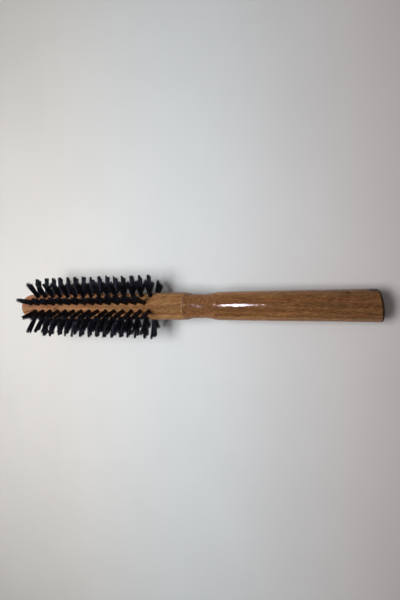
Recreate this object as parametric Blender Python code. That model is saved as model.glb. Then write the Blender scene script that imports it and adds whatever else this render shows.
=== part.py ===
"""Round barrel hair brush, lying along X with its handle towards +X.

A turned wooden barrel is drilled with ten rows of blind holes. Each hole holds a bristle
tuft, folded and driven in round an anchor. A dowel joins the barrel to a turned handle.
Sizes are in metres. The origin is on the brush's axis, half way along its length.
"""

import math

import bmesh
import bpy
from mathutils import Matrix, Vector

# Overall
LENGTH = 0.230
TIP_X = -LENGTH / 2
END_X = LENGTH / 2
JOINT_X = 0.0053
MESH_GAP = 0.0003
TURNED_SIDES = 40

# Barrel
BARREL_RADIUS = 0.0085
TIP_ROUNDING = 0.0052
BARREL_EDGE_ROUNDING = 0.0006

# Bristle rows
ROW_COUNT = 10
TUFTS_PER_ROW = 15
TUFT_PITCH = 0.00603
FIRST_TUFT_X = -0.10105
ROW_STEP = 2 * math.pi / ROW_COUNT
BRISTLE_RADIUS = 0.0198
TUFT_ROOT_RADIUS = 0.0010
TUFT_TIP_RADIUS = 0.00145
TUFT_SIDES = 6
TUFT_BOTTOM = 0.0041
ANCHOR_HEIGHT = 0.0046
ANCHOR_THICKNESS = 0.0007

# Blind holes for the tufts, joined at their bottoms by the anchors' clearance
HOLE_RADIUS = 0.0014
HOLE_BOTTOM = TUFT_BOTTOM - MESH_GAP
CHANNEL_THICKNESS = ANCHOR_THICKNESS + 2 * MESH_GAP
CUTTER_TOP = BARREL_RADIUS + 0.003

# Handle
NECK_STATIONS = (
    (0.0062, 0.00850),
    (0.0076, 0.00806),
    (0.0095, 0.00763),
    (0.0126, 0.00745),
    (0.0171, 0.00727),
    (0.0206, 0.00763),
    (0.0236, 0.00818),
    (0.0262, 0.00858),
)
BEAD_ROUNDING = 0.0007
GRIP_BULGE_X = 0.055
GRIP_BULGE_RADIUS = 0.00880
GRIP_WAIST_X = 0.085
GRIP_WAIST_RADIUS = 0.00885
GRIP_END_RADIUS = 0.00900
END_ROUNDING = 0.0010
END_SKEW = 0.0009
SKEW_START_X = 0.105

# Dowel across the joint
DOWEL_RADIUS = 0.0040
DOWEL_LENGTH = 0.030
DOWEL_CHAMFER = 0.0008
FLUTE_COUNT = 12
FLUTE_DEPTH = 0.0003
SOCKET_RADIUS = DOWEL_RADIUS + MESH_GAP
SOCKET_DEPTH = DOWEL_LENGTH / 2 + MESH_GAP

# Fineness of the turned outlines
TIP_STEPS = 6
EDGE_STEPS = 2
NECK_STEPS = 2
END_STEPS = 3

WELD = 1e-7
SMOOTH_ANGLE = math.radians(35)


def clear_scene():
    for old in list(bpy.data.objects):
        bpy.data.objects.remove(old)


def new_material(name, colour, roughness, metallic=0.0):
    made = bpy.data.materials.new(name)
    made.use_nodes = True
    shader = made.node_tree.nodes["Principled BSDF"]
    shader.inputs["Base Color"].default_value = (*colour, 1.0)
    shader.inputs["Roughness"].default_value = roughness
    shader.inputs["Metallic"].default_value = metallic
    return made


def arc(centre_x, centre_radius, rounding, start_degrees, end_degrees, steps):
    """Points (x, radius) along a circular arc of a turned outline."""
    points = []
    for step in range(steps + 1):
        angle = math.radians(start_degrees + (end_degrees - start_degrees) * step / steps)
        x = centre_x + rounding * math.cos(angle)
        radius = centre_radius + rounding * math.sin(angle)
        points.append((x, radius))
    return points


def smooth_line(stations, steps):
    """Catmull-Rom curve through the stations, with its end tangents pointing along them."""
    ends = [stations[0], *stations, stations[-1]]
    points = []
    for before, start, end, after in zip(ends, ends[1:], ends[2:], ends[3:]):
        for step in range(steps):
            t = step / steps
            points.append(catmull_rom(before, start, end, after, t))
    points.append(stations[-1])
    return points


def catmull_rom(before, start, end, after, t):
    before, start, end, after = (Vector(p) for p in (before, start, end, after))
    slope_in = (end - before) / 2
    slope_out = (after - start) / 2
    cubic = 2 * start - 2 * end + slope_in + slope_out
    square = 3 * end - 3 * start - 2 * slope_in - slope_out
    return tuple(((cubic * t + square) * t + slope_in) * t + start)


def finish_mesh(bm, name):
    bmesh.ops.remove_doubles(bm, verts=bm.verts, dist=WELD)
    bmesh.ops.recalc_face_normals(bm, faces=bm.faces)
    mesh = bpy.data.meshes.new(name)
    bm.to_mesh(mesh)
    bm.free()
    mesh.shade_smooth()
    mesh.set_sharp_from_angle(angle=SMOOTH_ANGLE)
    return mesh


def turned_mesh(name, outline):
    """Solid of revolution about X from an outline of (x, radius) that starts and ends on the axis."""
    bm = bmesh.new()
    half_side = math.pi / TURNED_SIDES
    turn = Matrix.Rotation(half_side, 4, "X")
    verts = [bm.verts.new(turn @ Vector((x, 0, radius))) for x, radius in outline]
    edges = [bm.edges.new(pair) for pair in zip(verts, verts[1:])]
    bmesh.ops.spin(
        bm,
        geom=verts + edges,
        cent=(0, 0, 0),
        axis=(1, 0, 0),
        angle=2 * math.pi,
        steps=TURNED_SIDES,
    )
    return finish_mesh(bm, name)


def add_object(name, mesh, material, parent):
    made = bpy.data.objects.new(name, mesh)
    bpy.context.scene.collection.objects.link(made)
    made.parent = parent
    if material:
        made.data.materials.clear()
        made.data.materials.append(material)
    return made


def add_helper(name, mesh):
    """A cutter or a guide: it shapes other pieces and isn't a piece itself."""
    made = add_object(name, mesh, None, None)
    made.hide_render = True
    made.display_type = "WIRE"
    return made


def add_boolean(target, helper, operation):
    modifier = target.modifiers.new(helper.name, "BOOLEAN")
    modifier.operation = operation
    modifier.solver = "EXACT"
    modifier.object = helper


def add_peg(bm, x, bottom, top, bottom_radius, top_radius):
    """A tapered peg that stands along Z at x, with flats facing along X."""
    made = bmesh.ops.create_cone(
        bm,
        cap_ends=True,
        segments=TUFT_SIDES,
        radius1=bottom_radius,
        radius2=top_radius,
        depth=top - bottom,
        matrix=Matrix.Translation((x, 0, (bottom + top) / 2)),
    )
    return made["verts"]


def add_bar(bm, start_x, end_x, height, thickness):
    """A square bar along X, centred at this height."""
    size = Matrix.Diagonal((end_x - start_x, thickness, thickness, 1))
    place = Matrix.Translation(((start_x + end_x) / 2, 0, height))
    return bmesh.ops.create_cube(bm, size=1, matrix=place @ size)["verts"]


def tuft_positions():
    return [tuft * TUFT_PITCH for tuft in range(TUFTS_PER_ROW)]


def row_transform(row):
    """Row 0 is nearest the top and the rest turn towards -Y. Odd rows are half a pitch nearer the tip."""
    angle = ROW_STEP * (row + 0.5)
    stagger = -TUFT_PITCH / 2 * (row % 2)
    return Matrix.Rotation(angle, 4, "X") @ Matrix.Translation((FIRST_TUFT_X + stagger, 0, 0))


def tuft_row_mesh():
    """Tufts in a line along X, joined at their folded roots by the thin anchor bar."""
    bm = bmesh.new()
    for x in tuft_positions():
        add_peg(bm, x, TUFT_BOTTOM, BRISTLE_RADIUS, TUFT_ROOT_RADIUS, TUFT_TIP_RADIUS)
    tufts = add_helper("tufts_guide", finish_mesh(bm, "tufts"))
    bm = bmesh.new()
    add_bar(bm, 0, tuft_positions()[-1], ANCHOR_HEIGHT, ANCHOR_THICKNESS)
    anchor = add_helper("anchor_guide", finish_mesh(bm, "anchor"))
    add_boolean(tufts, anchor, "UNION")
    graph = bpy.context.evaluated_depsgraph_get()
    joined = bpy.data.meshes.new_from_object(tufts.evaluated_get(graph))
    joined.name = "tuft_row"
    bpy.data.objects.remove(tufts)
    bpy.data.objects.remove(anchor)
    return joined


def hole_cutter():
    bm = bmesh.new()
    for row in range(ROW_COUNT):
        for x in tuft_positions():
            verts = add_peg(bm, x, HOLE_BOTTOM, CUTTER_TOP, HOLE_RADIUS, HOLE_RADIUS)
            bmesh.ops.transform(bm, matrix=row_transform(row), verts=verts)
    return add_helper("tuft_hole_cutter", finish_mesh(bm, "tuft_hole_cutter"))


def channel_cutter():
    bm = bmesh.new()
    for row in range(ROW_COUNT):
        verts = add_bar(bm, 0, tuft_positions()[-1], ANCHOR_HEIGHT, CHANNEL_THICKNESS)
        bmesh.ops.transform(bm, matrix=row_transform(row), verts=verts)
    return add_helper("anchor_channel_cutter", finish_mesh(bm, "anchor_channel_cutter"))


def barrel_outline():
    end_x = JOINT_X - MESH_GAP / 2
    edge_x = end_x - BARREL_EDGE_ROUNDING
    edge_radius = BARREL_RADIUS - BARREL_EDGE_ROUNDING
    outline = [(TIP_X, 0)]
    outline += arc(TIP_X + TIP_ROUNDING, BARREL_RADIUS - TIP_ROUNDING, TIP_ROUNDING, 180, 90, TIP_STEPS)
    outline += arc(edge_x, edge_radius, BARREL_EDGE_ROUNDING, 90, 0, EDGE_STEPS)
    outline += [(end_x, SOCKET_RADIUS)]
    outline += [(JOINT_X - SOCKET_DEPTH, SOCKET_RADIUS)]
    outline += [(JOINT_X - SOCKET_DEPTH, 0)]
    return outline


def handle_outline():
    start_x = JOINT_X + MESH_GAP / 2
    bead_radius = NECK_STATIONS[0][1]
    outline = [(JOINT_X + SOCKET_DEPTH, 0)]
    outline += [(JOINT_X + SOCKET_DEPTH, SOCKET_RADIUS)]
    outline += [(start_x, SOCKET_RADIUS)]
    bead_x = start_x + BEAD_ROUNDING
    outline += arc(bead_x, bead_radius - BEAD_ROUNDING, BEAD_ROUNDING, 180, 90, EDGE_STEPS)
    outline += smooth_line(NECK_STATIONS, NECK_STEPS)
    outline += [(GRIP_BULGE_X, GRIP_BULGE_RADIUS)]
    outline += [(GRIP_WAIST_X, GRIP_WAIST_RADIUS)]
    outline += [(SKEW_START_X, GRIP_END_RADIUS)]
    rim_x = END_X - END_SKEW - END_ROUNDING
    outline += arc(rim_x, GRIP_END_RADIUS - END_ROUNDING, END_ROUNDING, 90, 0, END_STEPS)
    outline += [(END_X - END_SKEW, 0)]
    return outline


def skew_end(mesh):
    """Leans the end face, which is sawn a little out of square, so that its -Y side is longer."""
    for vert in mesh.vertices:
        if vert.co.x > SKEW_START_X:
            vert.co.x -= END_SKEW * vert.co.y / (GRIP_END_RADIUS - END_ROUNDING)


def dowel_mesh():
    """Fluted dowel pin with chamfered ends, centred on the joint."""
    half = DOWEL_LENGTH / 2
    stations = (
        (-half, DOWEL_CHAMFER),
        (-half + DOWEL_CHAMFER, 0),
        (half - DOWEL_CHAMFER, 0),
        (half, DOWEL_CHAMFER),
    )
    bm = bmesh.new()
    rings = [dowel_ring(bm, JOINT_X + x, inset) for x, inset in stations]
    for first, second in zip(rings, rings[1:]):
        bridge_rings(bm, first, second)
    bm.faces.new(rings[0])
    bm.faces.new(rings[-1])
    return finish_mesh(bm, "dowel")


def dowel_ring(bm, x, inset):
    ring = []
    for point in range(2 * FLUTE_COUNT):
        angle = math.pi * point / FLUTE_COUNT
        radius = DOWEL_RADIUS - inset - FLUTE_DEPTH * (point % 2)
        ring.append(bm.verts.new((x, radius * math.cos(angle), radius * math.sin(angle))))
    return ring


def bridge_rings(bm, first, second):
    count = len(first)
    for i in range(count):
        j = (i + 1) % count
        bm.faces.new((first[i], first[j], second[j], second[i]))


def build_barrel(parent):
    oiled_wood = new_material("oiled_wood", (0.30, 0.145, 0.06), 0.45)
    barrel = add_object("barrel", turned_mesh("barrel", barrel_outline()), oiled_wood, parent)
    add_boolean(barrel, hole_cutter(), "DIFFERENCE")
    add_boolean(barrel, channel_cutter(), "DIFFERENCE")


def build_handle(parent):
    lacquered_wood = new_material("lacquered_wood", (0.20, 0.09, 0.035), 0.22)
    mesh = turned_mesh("handle", handle_outline())
    skew_end(mesh)
    add_object("handle", mesh, lacquered_wood, parent)


def build_dowel(parent):
    plain_beech = new_material("plain_beech", (0.55, 0.38, 0.22), 0.6)
    add_object("dowel", dowel_mesh(), plain_beech, parent)


def build_tuft_rows(parent):
    bristle = new_material("bristle", (0.008, 0.008, 0.010), 0.4)
    mesh = tuft_row_mesh()
    for row in range(ROW_COUNT):
        tuft_row = add_object(f"tuft_row_{row + 1:02d}", mesh, bristle, parent)
        tuft_row.matrix_local = row_transform(row)


def main():
    clear_scene()
    brush = bpy.data.objects.new("brush", None)
    bpy.context.scene.collection.objects.link(brush)
    build_barrel(brush)
    build_handle(brush)
    build_dowel(brush)
    build_tuft_rows(brush)


main()
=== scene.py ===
"""Looks of the round barrel hair brush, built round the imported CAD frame.

The turned barrel and handle are rebuilt as fine surfaces of revolution, and each tuft row
as its separate bristles. Sizes are in metres, in the CAD's frame: +X towards the handle's
end, +Z up. The brush lies on a table, on its lowest bristles and the handle's end.
"""

import math

import bpy
import numpy as np
from mathutils import Euler, Matrix, Vector, noise


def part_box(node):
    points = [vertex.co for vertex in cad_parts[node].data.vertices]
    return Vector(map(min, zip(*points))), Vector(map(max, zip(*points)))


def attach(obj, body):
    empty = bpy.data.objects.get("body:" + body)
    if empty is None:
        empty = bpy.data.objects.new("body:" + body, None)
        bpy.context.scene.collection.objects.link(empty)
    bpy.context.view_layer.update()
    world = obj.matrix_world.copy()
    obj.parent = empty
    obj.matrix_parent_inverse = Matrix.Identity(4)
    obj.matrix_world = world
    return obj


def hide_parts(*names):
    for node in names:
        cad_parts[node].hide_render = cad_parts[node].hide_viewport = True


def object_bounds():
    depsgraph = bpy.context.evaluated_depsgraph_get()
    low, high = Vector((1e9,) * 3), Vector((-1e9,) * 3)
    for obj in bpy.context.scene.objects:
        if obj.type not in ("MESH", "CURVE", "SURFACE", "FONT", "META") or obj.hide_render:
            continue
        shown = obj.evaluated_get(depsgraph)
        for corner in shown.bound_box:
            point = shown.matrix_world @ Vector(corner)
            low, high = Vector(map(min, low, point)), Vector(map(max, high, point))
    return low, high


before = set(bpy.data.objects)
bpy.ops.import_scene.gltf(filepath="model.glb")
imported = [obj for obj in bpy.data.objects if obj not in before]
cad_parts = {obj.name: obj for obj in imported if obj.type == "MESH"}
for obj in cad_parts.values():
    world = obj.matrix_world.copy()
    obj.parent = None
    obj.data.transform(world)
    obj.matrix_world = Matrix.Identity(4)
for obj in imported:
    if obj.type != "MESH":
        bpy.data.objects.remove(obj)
CAD_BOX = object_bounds()
ROW_NODES = sorted(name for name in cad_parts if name.startswith("tuft_row_"))

# Turned wood. Stations are (x, radius), and the neck's x is measured from the joint.
SIDES = 160
SHARP_ANGLE = math.radians(35)
JOINT_CLOSING = 0.0001
SOCKET_RADIUS = 0.0043
SOCKET_DEPTH = 0.0153
BARREL_RADIUS = 0.0085
BARREL_SPACING = 0.0015
TIP_ROUNDING = 0.0052
TIP_STEPS = 16
BARREL_EDGE_ROUNDING = 0.00045
EDGE_STEPS = 6
NECK_STATIONS = (
    (0.0009, 0.00850),
    (0.0023, 0.00806),
    (0.0042, 0.00763),
    (0.0073, 0.00745),
    (0.0118, 0.00727),
    (0.0153, 0.00763),
    (0.0183, 0.00818),
    (0.0209, 0.00858),
)
NECK_SPACING = 0.0004
BEAD_ROUNDING = 0.00055
GRIP_STATIONS = ((0.055, 0.00880), (0.085, 0.00885))
GRIP_SPACING = 0.0006
GRIP_END_RADIUS = 0.00900
END_ROUNDING = 0.0010
END_STEPS = 8
END_FACE_RING = 0.004
END_SKEW = 0.0009
SKEW_START_X = 0.105

# Sanding waves and lacquer ripples. A stretch below 1 draws them out along X.
OUTER_SURFACE_FROM = SOCKET_RADIUS + 0.001
WAVE_DEPTH = 0.000022
WAVE_LENGTH = 0.006
WAVE_STRETCH = 0.45
RIPPLE_DEPTH = 0.00005
RIPPLE_LENGTH = 0.0013
RIPPLE_STRETCH = 0.7

# Tufts. The CAD's pegs are six-sided, and stand with two flat sides across X.
TUFTS_PER_ROW = 15
PEG_RADIUS = 0.00145
TIP_HALF_WIDTH = PEG_RADIUS * math.cos(math.pi / 6)
HOLE_RADIUS = 0.00142
HOLE_BOTTOM = 0.0038
HOLE_TOP = BARREL_RADIUS + 0.001
HOLE_SIDES = 20
BRISTLE_RADIUS = 0.0198
STRANDS = 84
STRAND_SIDES = 3
STRAND_RADIUS = 0.00015
STRAND_RINGS = (0.0, 0.28, 0.5, 0.72, 0.9, 1.0)
STRAND_WIDTHS = (1.0, 1.0, 1.0, 0.95, 0.85, 0.5)
ROOT_HEIGHT = 0.0043
ROOT_SPREAD = 0.00122
TIP_FLARE = 1.04
BEND_START = 0.2
BEND_POWER = 1.35
GOLDEN_ANGLE = math.pi * (3 - math.sqrt(5))
SEED = 7

# How tufts differ from each other by chance
LEAN_ALONG = 0.00038
LEAN_ACROSS = 0.00032
TOP_EXCESS = 0.0006
TOP_SCATTER = 0.0002
LEG_STEP = 0.0014
LEG_STEP_SCATTER = 0.0005
FORK_RANGE = (0.00005, 0.00035)
FORK_TURN_SCATTER = 0.35
SPLIT_MEAN = -0.14
SPLIT_SCATTER = 0.15
CHANCE_SPLAY = 0.6

# How the bristles of one tuft differ
STRAY = 0.00010
STRAY_SHARE = 0.05
STRAY_FACTOR = 4.0
RIM_SHORTNESS = 0.0010
END_SCATTER = 0.00035
SHORT_LEG_START = 0.75
SHORT_LEG_SLOPE = 0.35
LONG_LEG_FALL = 0.0008
LONG_LEG_CREST = 0.5

# Wear. A lean is (along X, round the barrel), and a fade is a number of tufts.
TIP_SPLAY = 0.5
TIP_SPLAY_FADE = 1.2
PRESSED_SPLAY = 1.6
SPLAY_WIDENING = 0.35
EXTRA_SPLAY = {"tuft_row_03": 0.9, "tuft_row_02": 0.7, "tuft_row_09": 0.7, "tuft_row_10": 0.9}
EXTRA_LENGTH = {"tuft_row_03": 0.0008, "tuft_row_02": 0.0006}
LEAN_AT_TIP = {"tuft_row_10": (-0.0006, -0.0007)}
LEAN_AT_HANDLE = {"tuft_row_10": (-0.0023, 0.0002)}
FIRST_TUFT_LEAN = {"tuft_row_09": (-0.0027, 0.0014)}
FIRST_TUFT_FADE = 0.7
NO_LEAN = (0.0, 0.0)

# Noises: (features per metre along X, per metre across, detail, roughness, distortion, shift)
BROAD_GRAIN = (24, 260, 3.0, 0.5, 0.4, 0)
STREAK_GRAIN = (180, 1250, 3.0, 0.6, 0.6, 3)
DASH_GRAIN = (420, 2300, 2.0, 0.55, 0.0, 5)
RED_PATCHES = (55, 420, 2.0, 0.5, 0.0, 0)
WOOD_FIBRE = (75, 1400, 2.0, 0.6, 0.3, 6)
FINE_FIBRE = (320, 3800, 1.0, 0.5, 0.0, 8)
NECK_SPECKLE = (750, 950, 3.0, 0.65, 0.0, 2)
LACQUER_FIBRE = (110, 1400, 2.0, 0.6, 0.3, 6)
LACQUER_RIPPLE = (1300, 1700, 2.0, 0.6, 0.0, 12)
END_PORES = (1, 2600, 2.0, 0.6, 0.0, 0)
STRAND_TONES = (2600, 2600, 1.0, 0.5, 0.0, 1)
CLUMP_TONES = (420, 260, 1.0, 0.5, 0.0, 5)
TABLE_CLOUD = (14, 14, 3.0, 0.6, 0.0, 0)

# Figure of all the wood. Shades are (figure level, factor on the base colour).
BROAD_SHARE = 0.20
STREAK_SHARE = 0.28
RING_SHARE = 0.06
DASH_SHARE = 0.46
PITH_TURN = (0, 0.03, 0.05)
PITH_SHIFT = (0, 0.046, 0.03)
WOOD_SHADES = ((0.38, 0.54), (0.46, 0.83), (0.54, 1.11), (0.63, 1.58))
SHADE_PALING = 0.16
RED_PATCH_LEVELS = ((0.40, 0.0), (0.66, 0.7))
FINE_FIBRE_SHARE = 0.45
SPOT_STEEPNESS = 2.0

# Colours are linear. A knot is (x, degrees from +Z towards -Y, reach, strength).
KNOT_COLOUR = (0.050, 0.021, 0.009, 1)
# Painted shade on the rounded rim of the handle's end
RIM_SHADE_COLOUR = (0.030, 0.013, 0.006, 1)
PALE_EDGE_COLOUR = (0.480, 0.300, 0.160, 1)

# Barrel
BARREL_COLOUR = (0.342, 0.184, 0.077)
BARREL_RED = (1.02, 0.80, 0.78, 1)
BARREL_FIGURE_SHIFT = 1.7
BARREL_PATCH_SHIFT = 9
BARREL_ROUGHNESS = ((0.3, 0.58), (0.7, 0.42))
BARREL_RELIEF = 0.00010
BARREL_POLISH = 0.06
BARREL_KNOTS = ((-0.0847, 5.0, (0.0018, 0.0010, 0.002), 0.6),)
EDGE_POLISH = 0.9
PALE_EDGE_SHARE = 0.5
ROSY_START = 0.02
ROSY_END = 0.08
ROSY_TINT = (1.08, 0.97, 1.14, 1)

# Handle
HANDLE_COLOUR = (0.280, 0.134, 0.050)
HANDLE_RED = (1.04, 0.82, 0.85, 1)
HANDLE_FIGURE_SHIFT = 0.4
HANDLE_PATCH_SHIFT = 4
HANDLE_ROUGHNESS = ((0.3, 0.55), (0.7, 0.4))
HANDLE_RELIEF = 0.00011
HANDLE_KNOTS = (
    (0.0973, -54.2, (0.0012, 0.0009, 0.0009), 0.9),
    (0.1037, -50.2, (0.0009, 0.0006, 0.0006), 0.5),
    # The last is a long dark streak just inside the top edge near the end.
    (0.1102, -73.0, (0.0042, 0.0018, 0.0036), 1.0),
)
NECK_TINT = (0.98, 0.90, 1.02)
NECK_SHADES = ((0.38, 0.50), (0.52, 1.0), (0.64, 1.6))
NECK_MOTTLING = 0.7
NECK_PITS = 2.3
LACQUER_WEIGHT = 0.5
NECK_LACQUER_LOSS = 0.12
LACQUER_FIBRE_SHARE = 0.50
LACQUER_RIPPLE_SHARE = 0.20
# The handle's colour darkens evenly from here to its end.
DARKENING_START_X = 0.055
DARKENING_END_X = 0.115
END_DARKENING = 0.72
FACE_START = 1.3
END_PITH_SHIFT = (0, 0.004, 0.013)
END_RING_SHARE = 0.45
END_PORE_SHARE = 0.6
END_SHADES = ((0.25, 0.20), (0.50, 0.42), (0.75, 0.62))
# How strong the painted shade on the rounding of the end's rim is
RIM_SHADE_STRENGTH = 0.92

# Dowel and bristles
DOWEL_FIGURE_SHIFT = 2.2
DOWEL_COLOURS = ((0.3, (0.42, 0.26, 0.13)), (0.7, (0.66, 0.48, 0.30)))
BRISTLE_COLOURS = (
    (0.36, (0.0028, 0.0028, 0.0040)),
    (0.50, (0.0060, 0.0058, 0.0084)),
    (0.64, (0.0150, 0.0140, 0.0190)),
)
BRISTLE_ROUGHNESS = ((0.3, 0.46), (0.7, 0.30))
BRISTLE_SHINE = (0.72, 0.76, 1.0, 1)
CLUMP_SHARE = 0.5

# Light. World levels are (height of the direction looked in, colour).
WINDOW_PLACE = (-0.147, -0.004, 0.37)
WINDOW_SIZE = (0.18, 0.24)
WINDOW_POWER = 1.47
WINDOW_COLOUR = (1.0, 0.995, 0.99)
LAMP_PLACE = (-0.1175, 0.118, 0.80)
LAMP_SIZE = (0.068, 0.060)
LAMP_POWER = 5.1
LAMP_COLOUR = (0.93, 0.88, 1.0)
GLINT_PLACE = (-0.65, 0.05, 0.38)
GLINT_SIZE = (0.35, 0.35)
GLINT_POWER = 1.4
GLINT_COLOUR = (0.72, 0.82, 1.0)
WORLD_LEVELS = (
    (0.0, (0.112, 0.110, 0.107)),
    (0.20, (0.114, 0.111, 0.107)),
    (0.60, (0.122, 0.117, 0.110)),
    (1.0, (0.125, 0.119, 0.111)),
)

# Camera and table
CAMERA_PLACE = Vector((0.06897, 0.00790, 0.19549))
CAMERA_TURN = Euler((-0.02463, 0.27360, -0.01498))
BRUSH_ROLL = math.radians(1.637)
SENSOR = 36.0
LENS = 19.81
CLIP_START = 0.01
TABLE_SIZE = 20.0
# Painted light on the table along X: a warm, then cool, then warm cast, and a darker grey of
# painted shade from just before the handle's end on.
TABLE_PAINTED_LIGHT = (
    (0.0, (0.806, 0.788, 0.762)),
    (0.42, (0.806, 0.842, 0.866)),
    (0.58, (0.806, 0.842, 0.866)),
    (0.88, (0.766, 0.742, 0.748)),
    (1.0, (0.700, 0.674, 0.668)),
)
TABLE_PAINTED_LIGHT_SPAN = (-0.12, 0.13)
TABLE_CLOUD_LEVELS = ((0.3, 0.98), (0.7, 1.02))

# Sockets of a colour Mix node, which share their names with its other types' sockets
MIX_FIRST = 6
MIX_SECOND = 7
MIX_RESULT = 2


# ---------------------------------------------------------------- outlines


def arc(centre_x, centre_radius, rounding, start_degrees, end_degrees, steps):
    """Points (x, radius) along a circular arc of a turned outline."""
    points = []
    for step in range(steps + 1):
        angle = math.radians(start_degrees + (end_degrees - start_degrees) * step / steps)
        x = centre_x + rounding * math.cos(angle)
        radius = centre_radius + rounding * math.sin(angle)
        points.append((x, radius))
    return points


def smooth_line(stations, spacing):
    """Catmull-Rom curve through the stations, with a point every spacing or closer."""
    ends = [stations[0], *stations, stations[-1]]
    points = []
    for before, start, end, after in zip(ends, ends[1:], ends[2:], ends[3:]):
        steps = max(1, math.ceil((Vector(end) - Vector(start)).length / spacing))
        for step in range(steps):
            points.append(catmull_rom(before, start, end, after, step / steps))
    points.append(tuple(stations[-1]))
    return points


def catmull_rom(before, start, end, after, t):
    """Point at the share t of the way from start to end."""
    before, start, end, after = (Vector(p) for p in (before, start, end, after))
    slope_in = (end - before) / 2
    slope_out = (after - start) / 2
    cubic = 2 * start - 2 * end + slope_in + slope_out
    square = 3 * end - 3 * start - 2 * slope_in - slope_out
    return tuple(((cubic * t + square) * t + slope_in) * t + start)


def barrel_outline():
    """Tip, side and sharp edge of the barrel, and the dowel's socket in its end."""
    tip_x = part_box("barrel")[0].x
    end_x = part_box("barrel")[1].x + JOINT_CLOSING
    edge_x = end_x - BARREL_EDGE_ROUNDING
    tip_face = BARREL_RADIUS - TIP_ROUNDING
    edge_face = BARREL_RADIUS - BARREL_EDGE_ROUNDING
    outline = [(tip_x, 0), (tip_x, tip_face / 2)]
    outline += arc(tip_x + TIP_ROUNDING, tip_face, TIP_ROUNDING, 180, 90, TIP_STEPS)
    outline += smooth_line([outline[-1], (edge_x, BARREL_RADIUS)], BARREL_SPACING)[1:-1]
    outline += arc(edge_x, edge_face, BARREL_EDGE_ROUNDING, 90, 0, EDGE_STEPS)
    outline += [(end_x, SOCKET_RADIUS)]
    outline += [(end_x - SOCKET_DEPTH, SOCKET_RADIUS)]
    outline += [(end_x - SOCKET_DEPTH, 0)]
    return outline


def handle_outline():
    """The dowel's socket, and then the bead, neck, grip and flat end of the handle."""
    start_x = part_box("handle")[0].x - JOINT_CLOSING
    end_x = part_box("handle")[1].x - END_SKEW
    neck = [(start_x + x, radius) for x, radius in NECK_STATIONS]
    grip = [neck[-1], *GRIP_STATIONS, (end_x - END_ROUNDING, GRIP_END_RADIUS)]
    bead_face = neck[0][1] - BEAD_ROUNDING
    end_face = GRIP_END_RADIUS - END_ROUNDING
    outline = [(start_x + SOCKET_DEPTH, 0)]
    outline += [(start_x + SOCKET_DEPTH, SOCKET_RADIUS)]
    outline += [(start_x, SOCKET_RADIUS)]
    outline += arc(start_x + BEAD_ROUNDING, bead_face, BEAD_ROUNDING, 180, 90, EDGE_STEPS)
    outline += smooth_line(neck, NECK_SPACING)
    outline += smooth_line(grip, GRIP_SPACING)[1:-1]
    outline += arc(end_x - END_ROUNDING, end_face, END_ROUNDING, 90, 0, END_STEPS)
    outline += [(end_x, END_FACE_RING), (end_x, 0)]
    return outline


# ---------------------------------------------------------------- wooden pieces


def turned_mesh(name, outline):
    """Closed surface of revolution about X. The outline starts and ends on the axis."""
    verts = [(outline[0][0], 0, 0)]
    for x, radius in outline[1:-1]:
        for side in range(SIDES):
            angle = 2 * math.pi * side / SIDES
            verts.append((x, radius * math.sin(angle), radius * math.cos(angle)))
    verts.append((outline[-1][0], 0, 0))
    rings = len(outline) - 2
    faces = []
    for side in range(SIDES):
        beside = (side + 1) % SIDES
        faces.append((0, 1 + side, 1 + beside))
        last = 1 + (rings - 1) * SIDES
        faces.append((len(verts) - 1, last + beside, last + side))
        for ring in range(rings - 1):
            here = 1 + ring * SIDES
            there = here + SIDES
            faces.append((here + side, there + side, there + beside, here + beside))
    mesh = bpy.data.meshes.new(name)
    mesh.from_pydata(verts, [], faces)
    mesh.shade_smooth()
    return mesh


def make_uneven(mesh, depth, length, stretch):
    """Moves the outer surface in and out by smooth noise."""
    for vert in mesh.vertices:
        outward = Vector((0, vert.co.y, vert.co.z))
        if outward.length > OUTER_SURFACE_FROM:
            place = Vector((vert.co.x * stretch, vert.co.y, vert.co.z)) / length
            vert.co += outward.normalized() * depth * noise.noise(place)


def skew_end(mesh):
    """Leans the handle's end face, which is sawn a little out of square."""
    rim_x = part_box("handle")[1].x - END_SKEW - END_ROUNDING
    for vert in mesh.vertices:
        share = min(max((vert.co.x - SKEW_START_X) / (rim_x - SKEW_START_X), 0), 1)
        vert.co.x -= share * END_SKEW * vert.co.y / (GRIP_END_RADIUS - END_ROUNDING)


def add_object(name, data):
    made = bpy.data.objects.new(name, data)
    bpy.context.scene.collection.objects.link(made)
    return made


def add_piece(name, mesh, material, slot, *nodes):
    """One visible piece that stands for the CAD nodes."""
    mesh.materials.clear()
    mesh.materials.append(material)
    piece = add_object(name, mesh)
    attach(piece, "root")
    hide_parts(*nodes)


def hole_cutter():
    """All the tuft holes as one object of separate round pegs."""
    verts = []
    faces = []
    for node in ROW_NODES:
        for x, angle in row_places(node):
            turn = Matrix.Rotation(angle, 3, "X")
            first = len(verts)
            for height in (HOLE_BOTTOM, HOLE_TOP):
                for side in range(HOLE_SIDES):
                    around = 2 * math.pi * side / HOLE_SIDES
                    along = x + HOLE_RADIUS * math.cos(around)
                    across = HOLE_RADIUS * math.sin(around)
                    verts.append(turn @ Vector((along, across, height)))
            bottom = list(range(first, first + HOLE_SIDES))
            top = [vert + HOLE_SIDES for vert in bottom]
            faces.append(bottom[::-1])
            faces.append(top)
            for side in range(HOLE_SIDES):
                beside = (side + 1) % HOLE_SIDES
                faces.append((bottom[side], bottom[beside], top[beside], top[side]))
    mesh = bpy.data.meshes.new("hole_cutter")
    mesh.from_pydata([tuple(vert) for vert in verts], [], faces)
    return add_object("hole_cutter", mesh)


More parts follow.
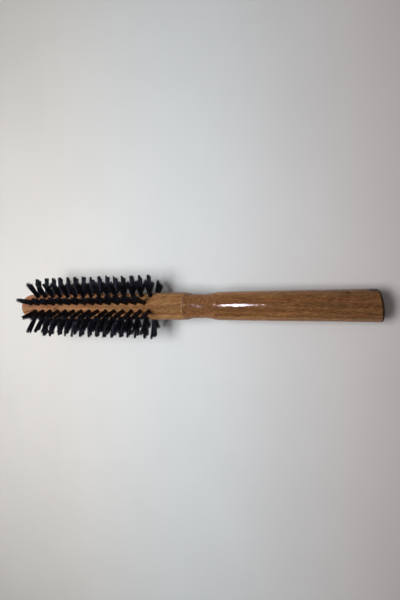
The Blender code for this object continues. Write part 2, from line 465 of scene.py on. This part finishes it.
def drilled(mesh):
    """The mesh with the tuft holes cut into it."""
    blank = add_object("barrel_blank", mesh)
    cutter = hole_cutter()
    cut = blank.modifiers.new("holes", "BOOLEAN")
    cut.operation = "DIFFERENCE"
    cut.solver = "EXACT"
    cut.object = cutter
    graph = bpy.context.evaluated_depsgraph_get()
    made = bpy.data.meshes.new_from_object(blank.evaluated_get(graph))
    bpy.data.objects.remove(blank)
    bpy.data.objects.remove(cutter)
    made.shade_smooth()
    made.set_sharp_from_angle(angle=SHARP_ANGLE)
    return made


def make_barrel():
    """The barrel, with the faint unevenness of hand-sanded wood."""
    mesh = turned_mesh("barrel_wood", barrel_outline())
    make_uneven(mesh, WAVE_DEPTH, WAVE_LENGTH, WAVE_STRETCH)
    add_piece("barrel_wood", drilled(mesh), barrel_material(), "barrel_wood", "barrel")


def make_handle():
    """The handle, sanded like the barrel, with the brush marks of its lacquer."""
    mesh = turned_mesh("handle_wood", handle_outline())
    make_uneven(mesh, WAVE_DEPTH, WAVE_LENGTH, WAVE_STRETCH)
    make_uneven(mesh, RIPPLE_DEPTH, RIPPLE_LENGTH, RIPPLE_STRETCH)
    skew_end(mesh)
    mesh.set_sharp_from_angle(angle=SHARP_ANGLE)
    add_piece("handle_wood", mesh, handle_material(), "handle_wood", "handle")


# ---------------------------------------------------------------- bristles


def row_places(node):
    """(x, angle from +Z) of each tuft in this CAD row, from the row's own box."""
    low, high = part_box(node)
    first = low.x + TIP_HALF_WIDTH
    pitch = (high.x - low.x - 2 * TIP_HALF_WIDTH) / (TUFTS_PER_ROW - 1)
    row = ROW_NODES.index(node)
    angle = 2 * math.pi * (row + 0.5) / len(ROW_NODES)
    return [(first + tuft * pitch, angle) for tuft in range(TUFTS_PER_ROW)]


def tuft_strands(rng, splay, lean, extra_length):
    """Centre lines of one tuft's bristles, standing along Z: an array of strand, ring, xyz.

    The bristles are folded round their anchor, so a tuft has two legs: a longer one towards
    the barrel's tip and a shorter one towards the handle.
    """
    lean = lean + rng.normal(0, (LEAN_ALONG, LEAN_ACROSS), 2)
    height = BRISTLE_RADIUS + extra_length + rng.normal(TOP_EXCESS, TOP_SCATTER)
    step = max(0.0, rng.normal(LEG_STEP, LEG_STEP_SCATTER))
    fork = rng.uniform(*FORK_RANGE)
    fork_turn = rng.normal(0, FORK_TURN_SCATTER)
    fork_axis = np.array([math.cos(fork_turn), math.sin(fork_turn)])
    split = rng.normal(SPLIT_MEAN, SPLIT_SCATTER)
    lines = []
    for strand in range(STRANDS):
        reach = math.sqrt((strand + 0.5) / STRANDS)
        around = GOLDEN_ANGLE * strand
        place = np.array([math.cos(around), math.sin(around)]) * reach
        offset = place @ fork_axis - split
        leg = 1.0 if offset > 0 else -1.0
        stray = rng.normal(0, STRAY * (1 + splay), 2)
        stray *= STRAY_FACTOR if rng.random() < STRAY_SHARE else 1.0
        tip = place * ROOT_SPREAD * TIP_FLARE * (1 + SPLAY_WIDENING * splay)
        tip += lean + stray + leg * fork * fork_axis * (1 + splay)
        short = RIM_SHORTNESS * reach**2 * rng.random() ** 2 + abs(rng.normal(0, END_SCATTER))
        short += leg_shortness(step, offset)
        lines.append(strand_line(place * ROOT_SPREAD, tip, height - short))
    return np.array(lines)


def leg_shortness(step, offset):
    """How much a bristle is cut back, from its place before or beyond the split."""
    if offset > 0:
        return step * (SHORT_LEG_START + SHORT_LEG_SLOPE * offset)
    return LONG_LEG_FALL * max(0.0, -offset - LONG_LEG_CREST)


def strand_line(root, tip, top):
    """One bristle: straight out of its hole, and then leaning outwards more and more."""
    line = []
    for share in STRAND_RINGS:
        bend = max(0.0, (share - BEND_START) / (1 - BEND_START)) ** BEND_POWER
        across = root + (tip - root) * bend
        line.append((across[0], across[1], ROOT_HEIGHT + (top - ROOT_HEIGHT) * share))
    return line


def strand_mesh_parts(line, first, turn):
    """Corner points and faces of one thin three-sided bristle with closed ends."""
    points = []
    for (x, y, z), width in zip(line, STRAND_WIDTHS):
        for side in range(STRAND_SIDES):
            around = turn + 2 * math.pi * side / STRAND_SIDES
            radius = STRAND_RADIUS * width
            points.append((x + radius * math.cos(around), y + radius * math.sin(around), z))
    faces = [tuple(first + side for side in reversed(range(STRAND_SIDES)))]
    for ring in range(len(line) - 1):
        here = first + ring * STRAND_SIDES
        for side in range(STRAND_SIDES):
            beside = (side + 1) % STRAND_SIDES
            above = here + STRAND_SIDES
            faces.append((here + side, here + beside, above + beside, above + side))
    last = first + (len(line) - 1) * STRAND_SIDES
    faces.append(tuple(last + side for side in range(STRAND_SIDES)))
    return points, faces


def tuft_splay(rng, node, tuft, angle):
    """How far a tuft fans out: worn near the tip, or pressed where the brush lies on it."""
    share = tuft / (TUFTS_PER_ROW - 1)
    worn = TIP_SPLAY * math.exp(-tuft / TIP_SPLAY_FADE) + EXTRA_SPLAY.get(node, 0.0) * share**2
    pressed = max(0.0, -math.cos(angle)) * share**3 * PRESSED_SPLAY
    return worn + pressed + CHANCE_SPLAY * rng.random() ** 4


def tuft_lean(node, tuft):
    """How far use has bent this tuft's tips, (along X, round the barrel)."""
    share = tuft / (TUFTS_PER_ROW - 1)
    start = np.array(LEAN_AT_TIP.get(node, NO_LEAN)) * (1 - share)
    end = np.array(LEAN_AT_HANDLE.get(node, NO_LEAN)) * share
    first = np.array(FIRST_TUFT_LEAN.get(node, NO_LEAN)) * math.exp(-tuft / FIRST_TUFT_FADE)
    return start + end + first


def make_tuft_row(node, material):
    """All the bristles of one CAD row as one piece, none of them below the CAD."""
    rng = np.random.default_rng(SEED + ROW_NODES.index(node))
    lowest = CAD_BOX[0].z
    extra_length = EXTRA_LENGTH.get(node, 0.0)
    points = []
    faces = []
    for tuft, (x, angle) in enumerate(row_places(node)):
        turn = Matrix.Rotation(angle, 3, "X")
        splay = tuft_splay(rng, node, tuft, angle)
        for line in tuft_strands(rng, splay, tuft_lean(node, tuft), extra_length):
            corners, sides = strand_mesh_parts(line, len(points), rng.uniform(0, 2))
            for along, across, height in corners:
                point = turn @ Vector((along + x, across, height))
                points.append((point.x, point.y, max(point.z, lowest)))
            faces += sides
    mesh = bpy.data.meshes.new(node + "_bristles")
    mesh.from_pydata(points, [], faces)
    mesh.shade_smooth()
    add_piece(node + "_bristles", mesh, material, "bristle", node)


# ---------------------------------------------------------------- material parts


def add_node(tree, kind, inputs=None, **settings):
    """A new node. Each input is a value or another node's output socket."""
    made = tree.nodes.new(kind)
    for key, value in settings.items():
        setattr(made, key, value)
    for key, value in (inputs or {}).items():
        if isinstance(value, bpy.types.NodeSocket):
            tree.links.new(value, made.inputs[key])
        else:
            made.inputs[key].default_value = value
    return made


def new_material(name, **uniform):
    """A material and its Principled shader, with the uniform values set on its own sockets."""
    made = bpy.data.materials.new(name)
    made.use_nodes = True
    shader = made.node_tree.nodes["Principled BSDF"]
    for key, value in uniform.items():
        shader.inputs[key.replace("_", " ")].default_value = value
    return made, made.node_tree, shader


def object_place(tree):
    """The point that is shaded, in the object's own metres."""
    return add_node(tree, "ShaderNodeTexCoord").outputs["Object"]


def maths(tree, operation, first, second=0.0, third=0.0):
    inputs = {0: first, 1: second, 2: third}
    return add_node(tree, "ShaderNodeMath", inputs, operation=operation).outputs[0]


def vector_maths(tree, operation, *inputs):
    made = add_node(tree, "ShaderNodeVectorMath", dict(enumerate(inputs)), operation=operation)
    return made.outputs["Value" if operation == "LENGTH" else "Vector"]


def stretched_noise(tree, place, kind, shift=0.0):
    """Grey noise of one of the kinds at the top, moved on by the shift."""
    along, across, detail, roughness, distortion, own_shift = kind
    moved = own_shift + shift
    inputs = {"Vector": place, "Scale": (along, across, across), "Location": (moved, moved, -moved)}
    stretch = add_node(tree, "ShaderNodeMapping", inputs)
    inputs = {
        "Vector": stretch.outputs[0],
        "Scale": 1.0,
        "Detail": detail,
        "Roughness": roughness,
        "Distortion": distortion,
    }
    return add_node(tree, "ShaderNodeTexNoise", inputs).outputs["Fac"]


def ramp(tree, value, *stops):
    """Colour ramp with stops of (position, colour or grey level)."""
    made = add_node(tree, "ShaderNodeValToRGB", {"Fac": value})
    elements = made.color_ramp.elements
    while len(elements) < len(stops):
        elements.new(0.5)
    for element, (position, colour) in zip(elements, stops):
        element.position = position
        element.color = (*colour, 1) if isinstance(colour, tuple) else (colour, colour, colour, 1)
    return made.outputs["Color"]


def fade(tree, value, start, end, start_level, end_level):
    """A level that goes evenly from one to the other as the value goes from start to end."""
    inputs = {
        "Value": value,
        "From Min": start,
        "From Max": end,
        "To Min": start_level,
        "To Max": end_level,
    }
    return add_node(tree, "ShaderNodeMapRange", inputs).outputs[0]


def blend_colours(tree, share, first, second, way="MIX"):
    inputs = {"Factor": share, MIX_FIRST: first, MIX_SECOND: second}
    made = add_node(tree, "ShaderNodeMix", inputs, data_type="RGBA", blend_type=way)
    return made.outputs[MIX_RESULT]


def spot(tree, place, centre, reach):
    """1 near the centre, falling to 0 at the reach (x, y, z) away from it."""
    moved = vector_maths(tree, "SUBTRACT", place, centre)
    scaled = vector_maths(tree, "MULTIPLY", moved, tuple(1 / side for side in reach))
    length = vector_maths(tree, "LENGTH", scaled)
    inside = maths(tree, "SUBTRACT", 1.0, maths(tree, "MINIMUM", length, 1.0))
    return maths(tree, "MINIMUM", maths(tree, "MULTIPLY", inside, SPOT_STEEPNESS), 1.0)


def shades(base, *stops):
    """Ramp stops (position, colour) from a base colour and (position, factor) pairs."""
    made = []
    for position, factor in stops:
        paler = 1 + SHADE_PALING * (factor - 1)
        colour = (base[0] * factor, base[1] * factor * paler, base[2] * factor * paler)
        made.append((position, colour))
    return made


def surface_point(x, degrees, radius):
    """Point on a turned surface, this many degrees from +Z towards -Y."""
    angle = math.radians(degrees)
    return (x, -radius * math.sin(angle), radius * math.cos(angle))


# ---------------------------------------------------------------- wood


def wood_figure(tree, place, shift):
    """Grey level, about 0.5, of long streaks, growth rings and fine dashes along X."""
    broad = stretched_noise(tree, place, BROAD_GRAIN, shift)
    streak = stretched_noise(tree, place, STREAK_GRAIN, shift)
    dash = stretched_noise(tree, place, DASH_GRAIN, shift)
    inputs = {"Vector": place, "Rotation": PITH_TURN, "Location": PITH_SHIFT}
    pith = add_node(tree, "ShaderNodeMapping", inputs).outputs[0]
    inputs = {"Vector": pith, "Scale": 95.0, "Distortion": 3.0, "Detail": 2.0, "Detail Scale": 0.6}
    rings = add_node(tree, "ShaderNodeTexWave", inputs, wave_type="RINGS", rings_direction="X")
    mixed = maths(tree, "MULTIPLY", broad, BROAD_SHARE)
    mixed = maths(tree, "MULTIPLY_ADD", streak, STREAK_SHARE, mixed)
    mixed = maths(tree, "MULTIPLY_ADD", rings.outputs["Fac"], RING_SHARE, mixed)
    return maths(tree, "MULTIPLY_ADD", dash, DASH_SHARE, mixed)


def wood_colour(tree, place, figure, base, red, shift):
    """Figured colour round the base, with long patches that lean to the redder colour."""
    colour = ramp(tree, figure, *shades(base, *WOOD_SHADES))
    patches = stretched_noise(tree, place, RED_PATCHES, shift)
    share = ramp(tree, patches, *RED_PATCH_LEVELS)
    redder = blend_colours(tree, 1.0, colour, red, "MULTIPLY")
    return blend_colours(tree, share, colour, redder)


def add_knots(tree, place, colour, radius, knots):
    """The colour with dark knots on the turned surface of this radius."""
    for x, degrees, reach, strength in knots:
        knot = spot(tree, place, surface_point(x, degrees, radius), reach)
        share = maths(tree, "MULTIPLY", knot, strength)
        colour = blend_colours(tree, share, colour, KNOT_COLOUR)
    return colour


def link_bump(tree, height, depth, socket):
    inputs = {"Height": height, "Strength": 1.0, "Distance": depth}
    bump = add_node(tree, "ShaderNodeBump", inputs)
    tree.links.new(bump.outputs[0], socket)


def add_bump(tree, shader, place, depth, extra=0.0):
    """Fibres that run along the wood, as deep as the depth, and any extra relief."""
    fibre = stretched_noise(tree, place, WOOD_FIBRE)
    fine = stretched_noise(tree, place, FINE_FIBRE)
    height = maths(tree, "ADD", fibre, extra)
    height = maths(tree, "MULTIPLY_ADD", fine, FINE_FIBRE_SHARE, height)
    link_bump(tree, height, depth, shader.inputs["Normal"])


def add_lacquer_bump(tree, shader, place, depth, pits):
    """The lacquer's own surface: it fills the finest fibres, and has ripples of its own."""
    fibre = stretched_noise(tree, place, LACQUER_FIBRE)
    ripple = stretched_noise(tree, place, LACQUER_RIPPLE)
    height = maths(tree, "MULTIPLY_ADD", fibre, LACQUER_FIBRE_SHARE, pits)
    height = maths(tree, "MULTIPLY_ADD", ripple, LACQUER_RIPPLE_SHARE, height)
    link_bump(tree, height, depth, shader.inputs["Coat Normal"])


def barrel_material():
    """Lightly finished wood with a satin surface, paler along its sharp end edge."""
    made, tree, shader = new_material(
        "barrel_wood", Diffuse_Roughness=1.0, Specular_IOR_Level=0.02, Coat_Roughness=0.06
    )
    place = object_place(tree)
    along = add_node(tree, "ShaderNodeSeparateXYZ", {0: place}).outputs[0]
    figure = wood_figure(tree, place, BARREL_FIGURE_SHIFT)
    colour = wood_colour(tree, place, figure, BARREL_COLOUR, BARREL_RED, BARREL_PATCH_SHIFT)
    colour = rosy_tip(tree, along, colour)
    colour = add_knots(tree, place, colour, BARREL_RADIUS, BARREL_KNOTS)
    # The barrel's end edge, as far in as its rounding, is paler and glossier.
    edge = maths(tree, "GREATER_THAN", along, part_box("barrel")[1].x - BARREL_EDGE_ROUNDING)
    colour = blend_colours(tree, maths(tree, "MULTIPLY", edge, PALE_EDGE_SHARE), colour, PALE_EDGE_COLOUR)
    tree.links.new(colour, shader.inputs["Base Color"])
    polish = maths(tree, "MULTIPLY_ADD", edge, EDGE_POLISH, BARREL_POLISH)
    tree.links.new(polish, shader.inputs["Coat Weight"])
    rough = ramp(tree, figure, *BARREL_ROUGHNESS)
    tree.links.new(rough, shader.inputs["Roughness"])
    add_bump(tree, shader, place, BARREL_RELIEF)
    return made


def rosy_tip(tree, along, colour):
    """The colour turned a little redder towards the barrel's tip."""
    tip_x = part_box("barrel")[0].x
    share = fade(tree, along, tip_x + ROSY_START, tip_x + ROSY_END, 1.0, 0.0)
    redder = blend_colours(tree, 1.0, colour, ROSY_TINT, "MULTIPLY")
    return blend_colours(tree, share, colour, redder)


def handle_material():
    """Stained wood under a clear, slightly uneven lacquer."""
    made, tree, shader = new_material(
        "handle_wood", Diffuse_Roughness=1.0, Specular_IOR_Level=0.02, Coat_Roughness=0.05
    )
    place = object_place(tree)
    along, across, _ = add_node(tree, "ShaderNodeSeparateXYZ", {0: place}).outputs
    neck = maths(tree, "LESS_THAN", along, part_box("handle")[0].x + NECK_STATIONS[-1][0])
    speckle = stretched_noise(tree, place, NECK_SPECKLE)
    figure = wood_figure(tree, place, HANDLE_FIGURE_SHIFT)
    colour = wood_colour(tree, place, figure, HANDLE_COLOUR, HANDLE_RED, HANDLE_PATCH_SHIFT)
    colour = mottled_neck(tree, neck, speckle, colour)
    colour = add_knots(tree, place, colour, GRIP_END_RADIUS, HANDLE_KNOTS)
    colour = darkened_towards_end(tree, along, colour)
    colour = sawn_end(tree, place, along, across, colour)
    tree.links.new(colour, shader.inputs["Base Color"])
    rough = ramp(tree, figure, *HANDLE_ROUGHNESS)
    tree.links.new(rough, shader.inputs["Roughness"])
    weight = maths(tree, "MULTIPLY_ADD", neck, -NECK_LACQUER_LOSS, LACQUER_WEIGHT)
    tree.links.new(weight, shader.inputs["Coat Weight"])
    pits = maths(tree, "MULTIPLY", speckle, maths(tree, "MULTIPLY", neck, NECK_PITS))
    add_bump(tree, shader, place, HANDLE_RELIEF, pits)
    add_lacquer_bump(tree, shader, place, HANDLE_RELIEF, pits)
    return made


def mottled_neck(tree, neck, speckle, colour):
    """The colour with the neck's short grain, which is cut across and looks speckled."""
    rosy = tuple(part * tint for part, tint in zip(HANDLE_COLOUR, NECK_TINT))
    mottled = ramp(tree, speckle, *shades(rosy, *NECK_SHADES))
    return blend_colours(tree, maths(tree, "MULTIPLY", neck, NECK_MOTTLING), colour, mottled)


def darkened_towards_end(tree, along, colour):
    """The colour darkened towards the handle's end."""
    shade = fade(tree, along, DARKENING_START_X, DARKENING_END_X, 1.0, END_DARKENING)
    return blend_colours(tree, 1.0, colour, shade, "MULTIPLY")


def sawn_end(tree, place, along, across, colour):
    """The colour with the sawn face's end grain, and painted shade in a dark line round its rim."""
    lean = END_SKEW / (GRIP_END_RADIUS - END_ROUNDING)
    square = maths(tree, "MULTIPLY_ADD", across, lean, along)
    face_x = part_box("handle")[1].x - END_SKEW - END_ROUNDING * FACE_START
    sawn = maths(tree, "GREATER_THAN", square, face_x)
    flat = add_node(tree, "ShaderNodeMapping", {"Vector": place, "Scale": (0, 1, 1)}).outputs[0]
    radius = vector_maths(tree, "LENGTH", flat)
    # Painted shade: the rounding round the end face is darkened, as if turned away from the light.
    rim = maths(tree, "GREATER_THAN", radius, GRIP_END_RADIUS - END_ROUNDING)
    dark = maths(tree, "MULTIPLY", rim, RIM_SHADE_STRENGTH)
    end = blend_colours(tree, dark, end_grain(tree, place, flat), RIM_SHADE_COLOUR)
    return blend_colours(tree, sawn, colour, end)


def end_grain(tree, place, flat):
    """Growth rings round a pith below the handle, and pores."""
    pith = add_node(tree, "ShaderNodeMapping", {"Vector": place, "Location": END_PITH_SHIFT})
    inputs = {"Vector": pith.outputs[0], "Scale": 190.0, "Distortion": 1.2, "Detail": 2.0}
    rings = add_node(tree, "ShaderNodeTexWave", inputs, wave_type="RINGS", rings_direction="X")
    pores = maths(tree, "MULTIPLY", stretched_noise(tree, flat, END_PORES), END_PORE_SHARE)
    grain = maths(tree, "MULTIPLY_ADD", rings.outputs["Fac"], END_RING_SHARE, pores)
    return ramp(tree, grain, *shades(HANDLE_COLOUR, *END_SHADES))


def dowel_material():
    """Bare, paler wood."""
    made, tree, shader = new_material("dowel_wood", Roughness=0.6)
    figure = wood_figure(tree, object_place(tree), DOWEL_FIGURE_SHIFT)
    colour = ramp(tree, figure, *DOWEL_COLOURS)
    tree.links.new(colour, shader.inputs["Base Color"])
    return made


# ---------------------------------------------------------------- other materials


def bristle_material():
    """Bluish black bristle, lighter and darker from strand to strand, with a soft shine."""
    made, tree, shader = new_material("bristle", Roughness=0.36, Specular_IOR_Level=0.42)
    shader.inputs["Specular Tint"].default_value = BRISTLE_SHINE
    place = object_place(tree)
    strand = maths(tree, "MULTIPLY", stretched_noise(tree, place, STRAND_TONES), 1 - CLUMP_SHARE)
    clump = stretched_noise(tree, place, CLUMP_TONES)
    tone = maths(tree, "MULTIPLY_ADD", clump, CLUMP_SHARE, strand)
    colour = ramp(tree, tone, *BRISTLE_COLOURS)
    tree.links.new(colour, shader.inputs["Base Color"])
    rough = ramp(tree, tone, *BRISTLE_ROUGHNESS)
    tree.links.new(rough, shader.inputs["Roughness"])
    return made


def table_material():
    """A pale top, a little uneven, whose painted light drifts from warm to cool to grey shade along
    the brush.
    """
    made, tree, shader = new_material("table_top", Roughness=0.6, Specular_IOR_Level=0.2)
    place = object_place(tree)
    along = add_node(tree, "ShaderNodeSeparateXYZ", {0: place}).outputs[0]
    # This tint is painted light: warm and cool casts, and painted shade round and past the handle's
    # end.
    tint = ramp(tree, fade(tree, along, *TABLE_PAINTED_LIGHT_SPAN, 0.0, 1.0), *TABLE_PAINTED_LIGHT)
    uneven = ramp(tree, stretched_noise(tree, place, TABLE_CLOUD), *TABLE_CLOUD_LEVELS)
    colour = blend_colours(tree, 1.0, tint, uneven, "MULTIPLY")
    tree.links.new(colour, shader.inputs["Base Color"])
    return made


# ---------------------------------------------------------------- surroundings


def resting_slope():
    """(height of the table under x = 0, its slope along X) where the brush lies at rest."""
    row_low, row_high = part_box("tuft_row_05")
    row_x = row_high.x - TIP_HALF_WIDTH
    end_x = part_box("handle")[1].x - END_SKEW - END_ROUNDING
    slope = (row_low.z + GRIP_END_RADIUS) / (row_x - end_x)
    return row_low.z - slope * row_x, slope


def add_table():
    """The table the brush lies on, which fills the picture."""
    height, slope = resting_slope()
    half = TABLE_SIZE / 2
    corners = [(-half, -half, 0), (half, -half, 0), (half, half, 0), (-half, half, 0)]
    mesh = bpy.data.meshes.new("table")
    mesh.from_pydata(corners, [], [(0, 1, 2, 3)])
    mesh.materials.append(table_material())
    table = add_object("table", mesh)
    table.location = (0, 0, height)
    table.rotation_euler = (0, -math.atan(slope), 0)


def add_area_light(name, place, size, power, colour):
    """A rectangular lamp that shines straight down."""
    data = bpy.data.lights.new(name, "AREA")
    data.shape = "RECTANGLE"
    data.size, data.size_y = size
    data.energy = power
    data.color = colour
    lamp = add_object(name, data)
    lamp.location = place
    return lamp


def add_lights():
    """A window over the barrel's tip lights the brush, and two lamps show only as reflections.

    The ceiling lamp puts the streak on the lacquer. The side glint, beyond the barrel's tip
    and aimed at the brush, gives the bristles their shine.
    """
    window = add_area_light("window", WINDOW_PLACE, WINDOW_SIZE, WINDOW_POWER, WINDOW_COLOUR)
    window.visible_glossy = False
    lamp = add_area_light("ceiling_lamp", LAMP_PLACE, LAMP_SIZE, LAMP_POWER, LAMP_COLOUR)
    lamp.visible_diffuse = False
    glint = add_area_light("side_glint", GLINT_PLACE, GLINT_SIZE, GLINT_POWER, GLINT_COLOUR)
    glint.rotation_euler = Vector(GLINT_PLACE).to_track_quat("Z", "Y").to_euler()
    glint.visible_diffuse = False


def add_world():
    """A dim and nearly even room, a little lighter overhead."""
    world = bpy.data.worlds.new("studio")
    world.use_nodes = True
    tree = world.node_tree
    way = add_node(tree, "ShaderNodeTexCoord").outputs["Generated"]
    height = add_node(tree, "ShaderNodeSeparateXYZ", {0: way}).outputs[2]
    colour = ramp(tree, height, *WORLD_LEVELS)
    tree.links.new(colour, tree.nodes["Background"].inputs["Color"])
    bpy.context.scene.world = world
    bpy.context.scene.view_settings.view_transform = "Standard"


def add_camera():
    """The photograph's camera. Its place and turn are given for a brush rolled about its axis."""
    level = Matrix.Rotation(-BRUSH_ROLL, 4, "X")
    turn = CAMERA_TURN.to_matrix().to_4x4()
    data = bpy.data.cameras.new("camera")
    data.sensor_width = SENSOR
    data.lens = LENS
    data.clip_start = CLIP_START
    camera = add_object("camera", data)
    camera.matrix_world = level @ Matrix.Translation(CAMERA_PLACE) @ turn
    bpy.context.scene.camera = camera


def main():
    add_camera()
    add_table()
    add_lights()
    add_world()
    make_barrel()
    make_handle()
    bristle = bristle_material()
    for node in ROW_NODES:
        make_tuft_row(node, bristle)
    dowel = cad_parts["dowel"]
    dowel.data.materials.clear()
    dowel.data.materials.append(dowel_material())


main()
